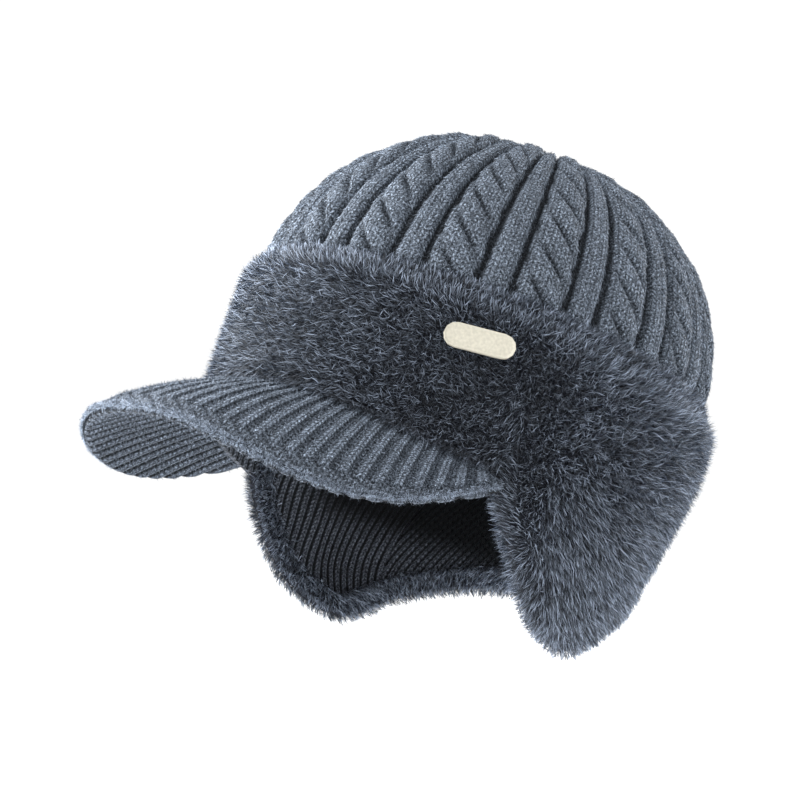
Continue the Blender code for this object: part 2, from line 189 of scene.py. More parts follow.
def smooth_rows(rows, where):
    """Rows of a table read at fractional places, on a smooth curve through them."""
    last = len(rows) - 1
    start = np.clip(np.floor(where).astype(int), 0, last - 1)
    t = (where - start)[..., None]
    before = rows[np.clip(start - 1, 0, last)]
    here, there = rows[start], rows[start + 1]
    after = rows[np.clip(start + 2, 0, last)]
    leave, arrive = (there - before) / 2, (after - here) / 2
    return (
        here * (2 * t**3 - 3 * t**2 + 1)
        + there * (3 * t**2 - 2 * t**3)
        + leave * (t**3 - 2 * t**2 + t)
        + arrive * (t**3 - t**2)
    )


def section_sizes(level):
    """The head's sections in metres and radians, read at fractional levels."""
    rows = SECTIONS.copy()
    rows[:, 0] *= np.where(rows[:, 0] > 0, BAND_TOP_HEIGHT, FLAP_DROP)
    rows[:, 1:] *= HEAD_FRONT, HEAD_FRONT, HEAD_BACK, HEAD_HALF_WIDTH, BAND_SLOPE
    rise = rows[0, 0] - rows[1, 0]
    above = rows[0].copy()
    above[0] += rise
    above[1] += rise * math.tan(CROWN_LEAN)
    return smooth_rows(np.vstack([above, rows]), level + 1)


def head_surface(angle, level):
    """Points of the head cavity's wall."""
    angle, level = matched(angle, level)
    sizes = section_sizes(np.maximum(level, 0))
    height, centre, front, back, width, slope = np.moveaxis(sizes, -1, 0)
    turn = np.pi / 2 * (1 + np.minimum(level, 0))
    shrink = np.sin(turn) ** (2 / CROWN_FULLNESS)
    rise = CROWN_RISE * np.maximum(np.cos(turn), 0) ** (2 / CROWN_FULLNESS)
    along = -np.cos(angle) * np.where(np.cos(angle) > 0, front, back) * shrink
    return np.stack(
        [
            width * np.sin(angle) * shrink,
            centre + along + rise * math.sin(CROWN_LEAN),
            height - along * np.tan(slope) + rise * math.cos(CROWN_LEAN),
        ],
        axis=-1,
    )


def unit(vectors):
    return vectors / np.maximum(np.linalg.norm(vectors, axis=-1, keepdims=True), 1e-12)


def off_head(angle, level, offset):
    """Points at a distance outside the cavity's wall, along its normal."""
    angle, level, offset = np.broadcast_arrays(angle, level, offset)
    step = 1e-3
    inside = np.maximum(level, -1 + 4 * step)
    round_head = head_surface(angle + step, inside) - head_surface(angle - step, inside)
    down_head = head_surface(angle, inside + step) - head_surface(angle, inside - step)
    outward = unit(np.cross(down_head, round_head))
    return head_surface(angle, level) + outward * offset[..., None]


def level_at(angle, height, offset=0.0):
    """The level at which a layer of the wall reaches a height."""
    angle, height = matched(angle, height)
    low, high = np.zeros(angle.shape), np.full(angle.shape, len(SECTIONS) - 1.0)
    for _ in range(18):
        middle = (low + high) / 2
        too_high = off_head(angle, middle, offset)[..., 2] > height
        low, high = np.where(too_high, middle, low), np.where(too_high, high, middle)
    return low


def hem_level(angle, depth):
    return level_at(angle, head_surface(angle, 0.0)[..., 2] - depth)


def brim_seat(angle, height):
    """Points on the lining's outside, where the brim's root stands."""
    return off_head(angle, level_at(angle, height, OUTSIDE_LINING), OUTSIDE_LINING)


def signed_power(value, power):
    return np.sign(value) * np.abs(value) ** power


def brim_table():
    """Root and rim of the brim's middle on a fine row of turns."""
    turn = np.linspace(-np.pi / 2, np.pi / 2, 1441)
    root = brim_seat(turn / (np.pi / 2) * BRIM_HALF_ANGLE, BRIM_ROOT_ARCH * np.cos(turn))
    centre = brim_seat(0.0, BRIM_ROOT_ARCH)
    corner = brim_seat(BRIM_HALF_ANGLE, 0.0)
    reach = corner[1] - centre[1] + BRIM_LENGTH
    power = 2 / BRIM_SQUARENESS
    lift = (BRIM_TIP_HEIGHT + BRIM_DROOP) * np.cos(BRIM_TWIST * turn) ** 2
    rim = np.stack(
        [
            corner[0] * BRIM_SPREAD * signed_power(np.sin(turn), power),
            corner[1] - reach * np.maximum(np.cos(turn), 0) ** power,
            lift - BRIM_DROOP,
        ],
        axis=-1,
    )
    return turn, np.hstack([root, rim])


BRIM_TABLE = brim_table()


def brim_edges(turn):
    turns, both = BRIM_TABLE
    rows = np.stack([np.interp(turn, turns, both[:, k]) for k in range(6)], axis=-1)
    return rows[..., :3], rows[..., 3:]


def brim_middle(turn, way):
    """Points of the brim's middle surface; way is 0 at the root and 1 at the rim."""
    turn, way = matched(turn, way)
    root, rim = brim_edges(turn)
    points = root + (rim - root) * way[..., None]
    points[..., 2] += BRIM_BULGE * 4 * way * (1 - way) * np.cos(turn)
    return points


def brim_normal(turn, way):
    step = 4e-3
    low, high = np.maximum(turn - step, -np.pi / 2), np.minimum(turn + step, np.pi / 2)
    across = brim_middle(high, way) - brim_middle(low, way)
    outward = brim_middle(turn, way + step) - brim_middle(turn, way - step)
    return unit(np.cross(outward, across))


def off_brim(turn, way, offset):
    turn, way, offset = np.broadcast_arrays(turn, way, offset)
    return brim_middle(turn, way) + brim_normal(turn, way) * offset[..., None]


def rest_height(x, y):
    """Height at which the plush rests on the brim, over points of the plan."""
    low, high = np.full(np.shape(x), -np.pi / 2), np.full(np.shape(x), np.pi / 2)
    for _ in range(16):
        turn = (low + high) / 2
        root, rim = brim_edges(turn)
        along = rim - root
        side = along[..., 0] * (y - root[..., 1]) - along[..., 1] * (x - root[..., 0])
        low, high = np.where(side > 0, turn, low), np.where(side > 0, high, turn)
    run = along[..., 0] ** 2 + along[..., 1] ** 2
    way = ((x - root[..., 0]) * along[..., 0] + (y - root[..., 1]) * along[..., 1]) / run
    way = np.clip(way, 0, 1)
    clear = BRIM_COVER + BRIM_RIB_HEIGHT + SEAT_GAP
    return brim_middle(turn, way)[..., 2] + clear / brim_normal(turn, way)[..., 2]


def root_arch(angle):
    """Height of the brim's root round the head."""
    return BRIM_ROOT_ARCH * np.cos(np.clip(angle / BRIM_HALF_ANGLE, -1, 1) * np.pi / 2)


def flap_edge():
    """The plush's lower edge on one side, at even steps, as angles and heights."""
    fine = smooth_rows(FLAP_EDGE, np.linspace(0, len(FLAP_EDGE) - 1, 400))
    angle, height = np.radians(fine[:, 0]), fine[:, 1] * FLAP_DROP
    places = head_surface(angle, level_at(angle, height))
    run = running(np.linalg.norm(np.diff(places, axis=0), axis=1))
    even = np.linspace(0, run[-1], FLAP_COLUMNS + 1)
    return np.interp(even, run, angle), np.interp(even, run, height)


def flap_margin(angle, height):
    """Where the plush starts to thin towards that edge."""
    reach = np.hypot(*head_surface(angle, level_at(angle, height))[:, :2].T)
    across, up = np.gradient(angle) * reach, np.gradient(height)
    length = np.hypot(across, up)
    inward_angle = -up / length * FUR_MARGIN / reach
    inward_height = across / length * FUR_MARGIN
    inward_height[0] = FUR_MARGIN
    return np.minimum(angle + inward_angle, np.pi), height + inward_height


def fur_columns():
    """For each column round the hat: angle at the top, angle and level at the margin and the edge."""
    side_angle, side_height = flap_edge()
    margin_angle, margin_height = flap_margin(side_angle, side_height)
    front = np.linspace(-1, 1, FRONT_COLUMNS + 1)
    edge = front * side_angle[0]
    place = off_head(edge, level_at(edge, root_arch(edge)), OUTSIDE_LINING + FUR_PILE / 2)
    low = np.maximum(rest_height(place[:, 0], place[:, 1]), side_height[0])
    top_side = np.linspace(margin_angle[0], np.pi, FLAP_COLUMNS + 1)

    def join(front_values, left, mirrored):
        right = 2 * np.pi - left if mirrored else left
        return np.concatenate([front_values, left[1:], right[::-1][1:-1]])

    columns = {
        "top": join(front * margin_angle[0], top_side, True),
        "margin_angle": join(front * margin_angle[0], margin_angle, True),
        "margin_height": join(low + FUR_MARGIN, margin_height, False),
        "edge_angle": join(edge, side_angle, True),
        "edge_height": join(low, side_height, False),
        "front": np.arange(len(front) + 2 * FLAP_COLUMNS - 1) <= FRONT_COLUMNS,
    }
    columns["margin"] = level_at(columns["margin_angle"], columns["margin_height"])
    columns["edge"] = level_at(columns["edge_angle"], columns["edge_height"])
    return columns


COLUMNS = fur_columns()


def between(start, stop, way):
    """Angles and levels a share of the way from one pair to another."""
    return start[0] + (stop[0] - start[0]) * way, start[1] + (stop[1] - start[1]) * way


def field_places(way):
    """Angle and level a share of the way from the plush's top to its margin."""
    margin = COLUMNS["margin_angle"], COLUMNS["margin"]
    return between((COLUMNS["top"], FUR_TOP_LEVEL), margin, way)


def margin_places(way):
    margin = COLUMNS["margin_angle"], COLUMNS["margin"]
    return between(margin, (COLUMNS["edge_angle"], COLUMNS["edge"]), way)


def on_brim(points, share):
    """Keeps the plush's front rows on the brim."""
    floor = rest_height(points[..., 0], points[..., 1])
    seated = np.maximum(points[..., 2], floor + FUR_MARGIN * (1 - share) / 2)
    seated = np.where(share >= 1, floor, seated)
    moved = points.copy()
    moved[..., 2] = np.where(COLUMNS["front"], seated, points[..., 2])
    return moved


# Arrays into pieces


def soft_noise(points, size, seed):
    """Smooth random values, -1 to 1, that change over a distance."""
    table = np.random.default_rng(seed).uniform(-1, 1, (32, 32, 32))
    where = points / size + 500
    cell = np.floor(where).astype(int)
    t = where - cell
    t = t * t * (3 - 2 * t)
    value = 0
    for corner in range(8):
        bits = np.array([corner & 1, corner >> 1 & 1, corner >> 2 & 1])
        weight = np.prod(np.where(bits, t, 1 - t), axis=-1)
        i, j, k = np.moveaxis((cell + bits) % 32, -1, 0)
        value = value + table[i, j, k] * weight
    return value


def ease(value, low, high):
    """0 up to the low value, 1 from the high one, and smooth between them."""
    t = np.clip((value - low) / (high - low), 0, 1)
    return t * t * (3 - 2 * t)


def stitch_map(across, along):
    """The knit's UV map, counted in stitches."""
    return np.stack(np.broadcast_arrays(across, along), axis=-1)


def grid_faces(rows, columns, ring, start=0, flip=False):
    row = np.arange(rows - 1)[:, None] * columns
    column = np.arange(columns if ring else columns - 1)[None]
    after = (column + 1) % columns
    corners = [row + column, row + after, row + columns + after, row + columns + column]
    faces = np.stack([c.ravel() for c in corners], axis=1) + start
    return faces[:, ::-1] if flip else faces


def new_piece(name, points, faces, finish, uv=None, marks=None, normals=None):
    """A smooth mesh from arrays; marks go into its pile layer, one row for each point."""
    data = bpy.data.meshes.new(name)
    sides = faces.shape[1]
    data.vertices.add(len(points))
    data.vertices.foreach_set("co", np.asarray(points, np.float32).ravel())
    data.loops.add(faces.size)
    data.loops.foreach_set("vertex_index", faces.astype(np.int32).ravel())
    data.polygons.add(len(faces))
    data.polygons.foreach_set("loop_start", np.arange(0, faces.size, sides, dtype=np.int32))
    if uv is not None:
        layer = data.uv_layers.new(name="stitches")
        layer.data.foreach_set("uv", uv[faces.ravel()].astype(np.float32).ravel())
    if marks is not None:
        colours = np.ones((len(points), 4), np.float32)
        colours[:, :3] = marks
        layer = data.color_attributes.new("pile", "FLOAT_COLOR", "POINT")
        layer.data.foreach_set("color", colours.ravel())
    data.update()
    data.validate()
    data.shade_smooth()
    if normals is not None:
        data.normals_split_custom_set_from_vertices(normals.tolist())
    data.materials.append(finish)
    piece = bpy.data.objects.new(name, data)
    bpy.context.scene.collection.objects.link(piece)
    return piece


def shell(name, outside, inside, ring, finish, uv_out, uv_in, capped=False, light_out=1.0, light_in=1.0):
    """A closed wall between two grids of points with the same columns.

    The light is painted light, kept in the pile layer: 0, the deepest painted shade, in the knit's troughs, and
    1 on top of it.
    """
    columns = outside.shape[1]
    count = outside.shape[0] * columns
    faces = [
        grid_faces(outside.shape[0], columns, ring),
        grid_faces(inside.shape[0], columns, ring, count, flip=True),
    ]
    total = count + inside.shape[0] * columns
    column = np.arange(columns if ring else columns - 1)
    after = (column + 1) % columns
    ends = [(count - columns, total - columns, False)]
    if not capped:
        ends.append((0, count, True))
    for outer, inner, flip in ends:
        strip = np.stack([outer + column, outer + after, inner + after, inner + column], 1)
        faces.append(strip[:, ::-1] if flip else strip)
    points = np.vstack([outside.reshape(-1, 3), inside.reshape(-1, 3)])
    uv = np.vstack([uv_out.reshape(-1, 2), uv_in.reshape(-1, 2)])
    light = [
        np.broadcast_to(light_out, outside.shape[:2]).ravel(),
        np.broadcast_to(light_in, inside.shape[:2]).ravel(),
    ]
    if capped:
        light.append(np.ones(2))
        points = np.vstack([points, outside[0].mean(0), inside[0].mean(0)])
        uv = np.vstack([uv, uv_out[0].mean(0), uv_in[0].mean(0)])
        for centre, start, flip in ((total, 0, True), (total + 1, count, False)):
            even = column[::2]
            corners = [start + even, start + even + 1, start + (even + 2) % columns, 0 * even + centre]
            cap = np.stack(corners, 1)
            faces.append(cap[:, ::-1] if flip else cap)
    if not ring:
        for edge, flip in ((0, False), (columns - 1, True)):
            rows_out = np.arange(outside.shape[0]) * columns + edge
            rows_in = np.linspace(0, inside.shape[0] - 1, outside.shape[0]).round().astype(int)
            rows_in = count + rows_in * columns + edge
            side = np.stack([rows_out[:-1], rows_out[1:], rows_in[1:], rows_in[:-1]], 1)
            faces.append(side[:, ::-1] if flip else side)
    # The marks are the painted light, the same in all three channels
    marks = np.repeat(np.concatenate(light)[:, None], 3, axis=1)
    return new_piece(name, points, np.vstack(faces), finish, uv=uv, marks=marks)


def dress(piece, slot, *nodes):
    """The piece rides on the hat, and may stand for nodes of the frame."""
    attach(piece, "root")
    if nodes:
        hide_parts(*nodes)
    return piece


def scatter(grid, count, rng, ring):
    """Random places spread evenly over a grid of points, with the directions there."""
    points = np.concatenate([grid, grid[:, :1]], axis=1) if ring else grid
    a, b = points[:-1, :-1], points[:-1, 1:]
    c, d = points[1:, :-1], points[1:, 1:]
    area = np.linalg.norm(np.cross(b - a, c - a), axis=-1)
    share = (area / area.sum()).ravel()
    cell = rng.choice(area.size, size=count, p=share)
    row, column = np.unravel_index(cell, area.shape)
    u, v = rng.random((2, count))
    u_, v_ = u[:, None], v[:, None]
    across = unit((b - a)[row, column])
    down = unit((c - a)[row, column])
    return {
        "root": (
            a[row, column] * (1 - u_) * (1 - v_)
            + b[row, column] * u_ * (1 - v_)
            + c[row, column] * (1 - u_) * v_
            + d[row, column] * u_ * v_
        ),
        "out": unit(np.cross(down, across)),
        "across": across,
        "down": down,
        "row": row + v,
        "column": column + u,
    }


def blades(name, root, heading, curl, length, width, finish, tint, rng, outward, bends=True):
    """Fine tapered hairs: each starts at its root along its heading and curls towards its tip.

    They are shaded half as flat blades and half as the surface they stand on.
    """
    count = len(root)
    heading = unit(heading)
    side = unit(np.cross(heading, rng.normal(size=(count, 3)))) * width[:, None] / 2
    flat = unit(np.cross(heading, side))
    inward = (flat * outward).sum(-1, keepdims=True) < 0
    side, flat = np.where(inward, -side, side), np.where(inward, -flat, flat)
    middle = root + heading * length[:, None] * 0.45
    tip = middle + unit(heading + curl) * length[:, None] * 0.55
    if bends:
        points = np.stack([root, middle - side, middle + side, tip], 1)
        along = np.array([0, 0.45, 0.45, 1.0])
        corners = np.array([(0, 1, 2), (1, 3, 2)])
    else:
        points = np.stack([root - side, root + side, tip], 1)
        along = np.array([0, 0, 1.0])
        corners = np.array([(0, 2, 1)])
    size = points.shape[1]
    faces = (np.arange(count)[:, None, None] * size + corners).reshape(-1, 3)
    marks = np.zeros((count, size, 3))
    marks[..., 0] = along
    marks[..., 1] = np.asarray(tint)[:, None]
    normals = np.repeat(unit(outward * 0.6 + flat * 0.4), size, axis=0)
    return new_piece(name, points.reshape(-1, 3), faces, finish, marks=marks.reshape(-1, 3), normals=normals)


# Finishes


class Recipe:
    """Adds and links the nodes of one material."""

    def __init__(self, name, roughness, sheen=0.0, specular=0.3):
        self.material = bpy.data.materials.new(name)
        self.material.use_nodes = True
        self.tree = self.material.node_tree
        self.shader = self.tree.nodes["Principled BSDF"]
        self.shader.inputs["Roughness"].default_value = roughness
        self.shader.inputs["Specular IOR Level"].default_value = specular
        self.shader.inputs["Sheen Weight"].default_value = sheen
        self.shader.inputs["Sheen Roughness"].default_value = 0.5
        self.shader.inputs["Sheen Tint"].default_value = (0.62, 0.74, 0.92, 1.0)

    def put(self, kind, *values, **settings):
        node = self.tree.nodes.new(kind)
        for key, value in settings.items():
            setattr(node, key, value)
        for place, value in enumerate(values):
            self.feed(node.inputs[place], value)
        return node

    def feed(self, socket, value):
        if isinstance(value, bpy.types.NodeSocket):
            self.tree.links.new(value, socket)
        elif isinstance(value, bpy.types.Node):
            self.tree.links.new(value.outputs[0], socket)
        else:
            socket.default_value = value

    def math(self, operation, *values):
        return self.put("ShaderNodeMath", *values, operation=operation).outputs[0]

    def tent(self, value):
        """1 where the value is a half, falling to 0 at 0 and at 1."""
        doubled = self.math("SUBTRACT", self.math("MULTIPLY", value, 2.0), 1.0)
        return self.math("SUBTRACT", 1.0, self.math("ABSOLUTE", doubled))

    def noise(self, scale, detail=2.0, roughness=0.5):
        node = self.put("ShaderNodeTexNoise")
        self.feed(node.inputs["Vector"], self.put("ShaderNodeTexCoord").outputs["Object"])
        node.inputs["Scale"].default_value = scale
        node.inputs["Detail"].default_value = detail
        node.inputs["Roughness"].default_value = roughness
        return node.outputs["Fac"]

    def ramp(self, value, *stops):
        node = self.put("ShaderNodeValToRGB", value)
        elements = node.color_ramp.elements
        while len(elements) < len(stops):
            elements.new(0.5)
        for element, (place, colour) in zip(elements, stops):
            element.position = place
            element.color = (*colour, 1)
        return node.outputs["Color"]

    def tinted(self, colour, factor):
        """A colour darkened or lightened by a factor."""
        node = self.put("ShaderNodeVectorMath", operation="SCALE")
        self.feed(node.inputs[0], colour)
        self.feed(node.inputs["Scale"], factor)
        return node.outputs["Vector"]

    def bump(self, height, distance):
        node = self.put("ShaderNodeBump")
        node.inputs["Distance"].default_value = distance
        self.feed(node.inputs["Height"], height)
        return node.outputs["Normal"]

    def done(self, colour, normal=None):
        self.feed(self.shader.inputs["Base Color"], colour)
        if normal is not None:
            self.feed(self.shader.inputs["Normal"], normal)
        return self.material


def lighter(colour, factor):
    return tuple(min(1.0, c * factor) for c in colour)


def mixed(first, second, share):
    return tuple(a * (1 - share) + b * share for a, b in zip(first, second))


def knit_finish(name, colour, gap, contrast=1.0):
    """Fuzzy melange yarn in V stitches.

    The UV map counts the stitches, and gap is the painted light that is left between them, a painted shade in
    the gaps between stitches. The pile layer's red adds painted shade in the knit's troughs.
    """
    made = Recipe(name, roughness=0.85, sheen=0.05, specular=0.15)
    split = made.put("ShaderNodeSeparateXYZ", made.put("ShaderNodeTexCoord").outputs["UV"])
    column, row = split.outputs[0], split.outputs[1]
    off_middle = made.math("SUBTRACT", 1.0, made.tent(made.math("FRACT", column)))
    slant = made.math("MULTIPLY", off_middle, 0.8)
    wave = made.math("FRACT", made.math("SUBTRACT", row, slant))
    raised = [made.math("MAXIMUM", made.tent(value), 0.001) for value in (off_middle, wave)]
    height = made.math("POWER", made.math("MULTIPLY", *raised), 0.5)
    strands = made.noise(2300.0, 2.0, roughness=0.7)
    specks = made.noise(1300.0, 1.0, roughness=0.6)
    patches = made.noise(60.0, 2.0)
    melange = made.ramp(
        made.math("ADD", made.math("MULTIPLY", strands, 0.6), made.math("MULTIPLY", specks, 0.4)),
        (0.40, lighter(colour, 0.10 / contrast)),
        (0.48, lighter(colour, 0.62)),
        (0.54, lighter(colour, 1.30)),
        (0.64, lighter(colour, 2.9 * contrast)),
    )
    # Painted shade in the gaps between stitches, times the painted light from the pile layer's red
    depth = made.math("MULTIPLY_ADD", height, 1.25 - gap, gap)
    layer = made.put("ShaderNodeAttribute", attribute_name="pile")
    painted_light_mark = made.put("ShaderNodeSeparateColor", layer.outputs["Color"]).outputs[0]
    depth = made.math("MULTIPLY", depth, painted_light_mark)
    shade = made.math("MULTIPLY", depth, made.math("MULTIPLY_ADD", patches, 0.5, 0.75))
    fuzz = made.math("ADD", height, made.math("MULTIPLY", strands, 1.1))
    return made.done(made.tinted(melange, shade), made.bump(fuzz, STITCH_DEPTH))


def pile_finish(name, root, tip):
    """Hair, dark at the root and paler at the tip.

    The pile layer holds the place along each hair and its tint, which carries painted light and shade.
    """
    made = Recipe(name, roughness=0.6, sheen=0.25, specular=0.25)
    layer = made.put("ShaderNodeAttribute", attribute_name="pile")
    split = made.put("ShaderNodeSeparateColor", layer.outputs["Color"])
    along, tint = split.outputs[0], split.outputs[1]
    colour = made.ramp(
        along,
        (0.0, root),
        (0.40, mixed(root, tip, 0.25)),
        (0.75, mixed(root, tip, 0.65)),
        (1.0, tip),
    )
    patches = made.noise(45.0, 2.0)
    streak = made.math("MINIMUM", made.math("MULTIPLY_ADD", tint, 3.0, 0.08), 2.4)
    shade = made.math("MULTIPLY", streak, made.math("MULTIPLY_ADD", patches, 0.5, 0.75))
    return made.done(made.tinted(colour, shade))


def felted_finish(name, colour):
    """The dense dark wool at the foot of the pile."""
    made = Recipe(name, roughness=0.95, specular=0.1)
    grain = made.noise(1200.0, 2.0)
    tone = made.ramp(grain, (0.35, lighter(colour, 0.4)), (0.65, lighter(colour, 1.5)))
    return made.done(tone, made.bump(grain, 0.001))


# Settings


def size_of(name, description, default, low=0.0, high=1.0):
    return bpy.props.FloatProperty(
        name=name,
        description=description,
        default=default,
        min=low,
        max=high,
        subtype="DISTANCE",
        unit="LENGTH",
        precision=5,
    )


def angle_of(name, description, degrees):
    return bpy.props.FloatProperty(
        name=name, description=description, default=math.radians(degrees), subtype="ANGLE"
    )


def count_of(name, description, default, high):
    return bpy.props.IntProperty(name=name, description=description, default=default, min=0, max=high)


def colour_of(name, description, default):
    return bpy.props.FloatVectorProperty(
        name=name, description=description, default=default, size=3, min=0.0, max=1.0, subtype="COLOR"
    )


class CrownSettings(bpy.types.PropertyGroup):
    cable_height: size_of("Cable height", "How far a cable stands proud of the crown's wall", 0.0049)
    rib_height: size_of("Rib height", "How far a plain rib stands proud of the wall", 0.0036)
    yarn: colour_of("Yarn", "Colour of the crown's yarn", (0.172, 0.206, 0.257))
    fuzz_count: count_of("Fuzz", "Loose fibres on the crown", 100000, 150000)
    fuzz_length: size_of("Fuzz length", "Length of a loose fibre", 0.0024)


class PlushSettings(bpy.types.PropertyGroup):
    hair_count: count_of("Guard hairs", "Long hairs over the whole plush", 140000, 150000)
    down_count: count_of("Down hairs", "Short straight hairs under the long ones", 110000, 190000)
    hair_width: size_of("Hair width", "Width of a long hair at its widest", 0.00032)
    root_colour: colour_of("Root", "Colour at the foot of the pile", (0.010, 0.012, 0.017))
    tip_colour: colour_of("Tip", "Colour at the tips of the pile", (0.252, 0.301, 0.386))
    backing: colour_of("Backing", "Colour of the wool under the hairs", (0.014, 0.016, 0.022))


class BrimSettings(bpy.types.PropertyGroup):
    rib_height: size_of("Rib height", "How far a rib stands proud on the brim's top", 0.0016)
    under_pitch: size_of("Underside pitch", "Distance between ribs on the brim's underside", 0.0047, 0.001)
    yarn: colour_of("Yarn", "Colour of the brim's top", (0.188, 0.226, 0.285))
    under_yarn: colour_of("Underside yarn", "Colour of the brim's underside", (0.150, 0.180, 0.230))
    fuzz_count: count_of("Fuzz", "Loose fibres on the brim and along its rim", 34000, 60000)


class LiningSettings(bpy.types.PropertyGroup):
    rib_pitch: size_of("Rib pitch", "Distance between the lining's ribs", 0.0043, 0.001)
    rib_height: size_of("Rib height", "How far a rib stands into the cavity", 0.0009)
    yarn: colour_of("Yarn", "Colour of the lining", (0.165, 0.186, 0.228))


class BadgeSettings(bpy.types.PropertyGroup):
    cream: colour_of("Cream", "Colour of the badge", (0.50, 0.475, 0.395))


class StageSettings(bpy.types.PropertyGroup):
    azimuth: angle_of("Azimuth", "Camera's turn round the hat from its front", 53)
    elevation: angle_of("Elevation", "Camera's height above the horizon", 3.5)
    distance: size_of("Distance", "From the hat's origin to the camera", 1.245, 0.1, 10.0)
    lens: bpy.props.FloatProperty(
        name="Lens",
        description="Focal length of the camera",
        default=133.5,
        min=10,
        subtype="DISTANCE_CAMERA",
    )
    floor_drop: size_of("Floor drop", "From the hat's origin down to the floor", 0.25)
    floor: colour_of("Floor", "Colour of the floor", (0.93, 0.93, 0.93))


# Pieces


class BEANIE_OT_crown(bpy.types.Operator):
    """Knits the cabled crown over its wall"""

    bl_idname = "beanie.crown"
    bl_label = "Knit the crown"

    def execute(self, context):
        chosen = context.scene.beanie_crown
        finish = knit_finish("cable_yarn", chosen.yarn, gap=0.16)
        cell = self.columns()
        angle = cell * 2 * np.pi / CABLE_COUNT
        share = (cell + 0.5) % 1 - 0.5
        button = CROWN_BUTTON_RADIUS / HEAD_HALF_WIDTH - 1
        fine = np.linspace(button, KNIT_END_LEVEL, 300)[:, None]
        steps = np.linalg.norm(np.diff(head_surface(angle[::8], fine), axis=0), axis=-1).mean(axis=1)
        run = running(steps)
        distance = np.linspace(0, run[-1], KNIT_ROWS)
        level = np.interp(distance, run, fine[:, 0])[:, None] + 0 * angle
        hem = hem_level(angle, CROWN_HEM_DEPTH)
        level = np.vstack([level, FUR_TOP_LEVEL + 0 * hem, 0 * hem, hem])
        distance = np.concatenate([distance, run[-1] * np.ones(3)])[:, None]
        relief, light = self.relief(share, distance, chosen.cable_height, chosen.rib_height)
        relief *= ease(run[-1] - distance, 0, 0.002)
        radius = np.sin(np.pi / 2 * (1 + np.minimum(level, 0))) * HEAD_HALF_WIDTH
        relief *= np.clip(radius / GATHER_RADIUS, 0, 1)
        base = off_head(angle, level, CROWN_WALL)
        relief += KNIT_UNEVENNESS * soft_noise(base, KNIT_PATCH, 5) * (distance < run[-1])
        outside = off_head(angle, level, CROWN_WALL + relief)
        inner_level = np.linspace(button, FUR_TOP_LEVEL, 12)[:, None] + 0 * angle
        inner_level = np.vstack([inner_level, 0 * hem, hem])
        inside = off_head(angle, inner_level, 0.0)
        stitches = angle * HEAD_HALF_WIDTH / KNIT_STITCH_WIDTH
        uv_out = stitch_map(stitches, distance / KNIT_STITCH_HEIGHT)
        uv_in = stitch_map(stitches, inner_level * INSIDE_STITCHES)
        # Painted light on the outside; the inside wall is darkened by painted shade
        lights = {"light_out": light, "light_in": INSIDE_LIGHT}
        piece = shell("knit_crown", outside, inside, True, finish, uv_out, uv_in, capped=True, **lights)
        dress(piece, "yarn", "cable_knit_crown")
        self.fuzz(chosen, outside[2:-3], light)
        return {"FINISHED"}

    @staticmethod
    def fuzz(chosen, skin, light):
        """Loose fibres that lie along the knit, shorter in its troughs and darkened there by painted shade."""
        rng = np.random.default_rng(11)
        count = chosen.fuzz_count
        spots = scatter(skin, count, rng, True)
        out = spots["out"]
        lay = np.sign(rng.random(count) - 0.5)[:, None]
        stray = rng.normal(size=out.shape) * 0.35
        heading = spots["down"] * 0.8 + spots["across"] * lay * 0.6 + stray
        heading -= out * (heading * out).sum(-1, keepdims=True)
        heading = unit(unit(heading) + out * rng.uniform(0.05, 0.75, (count, 1)) ** 1.5)
        row = np.clip(spots["row"].astype(int) + 2, 0, len(light) - 1)
        painted_light_mark = light[row, spots["column"].astype(int) % light.shape[1]]
        length = chosen.fuzz_length * rng.uniform(0.35, 1.0, count) * (0.5 + 0.5 * painted_light_mark)
        width = rng.uniform(0.00016, 0.00032, count)
        finish = pile_finish("yarn_fuzz", lighter(chosen.yarn, 0.9), lighter(chosen.yarn, 1.6))
        tint = 0.7 * rng.random(count) ** 1.8 * (0.15 + 0.85 * painted_light_mark)
        hairs = spots["root"], heading, 0, length, width
        fuzz = blades("crown_fuzz", *hairs, finish, tint, rng, out, bends=False)
        dress(fuzz, "yarn")

    @staticmethod
    def relief(share, distance, cable_height, rib_height):
        """Height and painted light of the knit; share is the place across one repeat, 0 at a cable's middle."""
        pinch = 0.90 + 0.10 * np.abs(np.sin(np.pi * distance / CABLE_CROSSING))
        across = share / (CABLE_EDGE * pinch)
        sweep = CABLE_SLANT * (across + 0.5 * across**3)
        lobe = np.abs(np.sin(np.pi * (distance / CABLE_CROSSING + sweep)))
        crease = np.exp(-((lobe / 0.45) ** 2))
        slit = np.exp(-((lobe / 0.24) ** 2)) * ease(0.78 - np.abs(across), 0, 0.45)
        body = np.maximum(1 - across**2, 0)
        cable = cable_height * body**0.40 * (1 - 0.28 * crease - 0.32 * slit)
        off_rib = (0.5 - np.abs(share)) / (0.5 - RIB_EDGE)
        wales = 1 - 0.20 * np.exp(-((off_rib / 0.16) ** 2))
        rib = rib_height * np.maximum(1 - off_rib**2, 0) ** 0.45 * wales
        relief = np.maximum(cable, rib) + 0 * distance
        # Painted shade in the grooves beside the cables and ribs, in the cables' slits and along each lobe's
        # crease
        light = ease(relief, 0.0001, 0.0022) * (1 - GROOVE_LIGHT) + GROOVE_LIGHT
        return relief, light * (1 - 0.80 * slit) * (0.74 + 0.26 * np.sqrt(np.where(cable > rib, lobe, 1)))

    @staticmethod
    def columns():
        """Places round the crown in repeats, closer together at the troughs beside each cable."""
        fine = np.linspace(-0.5, 0.5, 2001)
        trough = (CABLE_EDGE + RIB_EDGE) / 2
        crowding = 1 + 2.2 * np.exp(-(((np.abs(fine) - trough) / 0.05) ** 2))
        run = running((crowding[1:] + crowding[:-1]) / 2)
        share = np.interp(np.arange(KNIT_COLUMNS) / KNIT_COLUMNS, run / run[-1], fine)
        return (np.arange(CABLE_COUNT)[:, None] + share).ravel()


